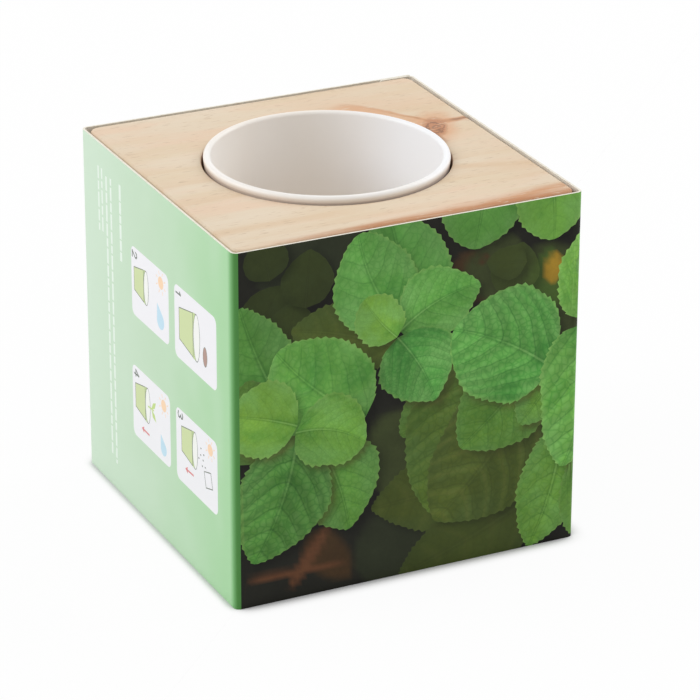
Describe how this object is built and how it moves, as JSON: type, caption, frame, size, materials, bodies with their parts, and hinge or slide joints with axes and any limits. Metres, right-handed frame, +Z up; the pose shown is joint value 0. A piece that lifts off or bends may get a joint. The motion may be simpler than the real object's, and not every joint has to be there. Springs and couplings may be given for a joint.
{
  "type": "indoor herb planter",
  "caption": "Cube-shaped desk planter: a bored pine block in a printed card sleeve, with a lift-out liner pot holding a soil pellet and a seed sachet.",
  "frame": {"origin": "middle of the underside, on the surface that the planter stands on", "axes": "+Z up; the picture panel of the sleeve faces -Y and the instruction panel faces -X"},
  "size_m": [0.075, 0.075, 0.0765],
  "materials": {
    "pine": "sanded, unvarnished pine",
    "printed_card": "thin board with a satin print",
    "white_plastic": "white, satin to gloss",
    "pressed_soil": "pressed coir and peat fibre, matt",
    "sachet_paper": "uncoated brown paper, lightly creased",
    "seed_coat": "dark, dull, finely pitted"
  },
  "bodies": {
    "block": {"wood_block": "pine"},
    "sleeve": {"card_sleeve": "printed_card"},
    "pot": {"grow_pot": "white_plastic"},
    "pellet": {"soil_pellet": "pressed_soil"},
    "sachet": {"sachet_back_web": "sachet_paper", "sachet_front_web": "sachet_paper", "herb_seeds": "seed_coat"}
  },
  "joints": [
    {"name": "sleeve_slide", "type": "slide", "parent": "block", "child": "sleeve", "axis": [0, 0, 1], "range_m": [0, 0.08]},
    {"name": "pot_lift", "type": "slide", "parent": "block", "child": "pot", "axis": [0, 0, 1], "range_m": [0, 0.065]},
    {"name": "pellet_lift", "type": "slide", "parent": "pot", "child": "pellet", "axis": [0, 0, 1], "range_m": [0, 0.065]},
    {"name": "sachet_lift", "type": "slide", "parent": "pellet", "child": "sachet", "axis": [0, 0, 1], "range_m": [0, 0.055]}
  ]
}
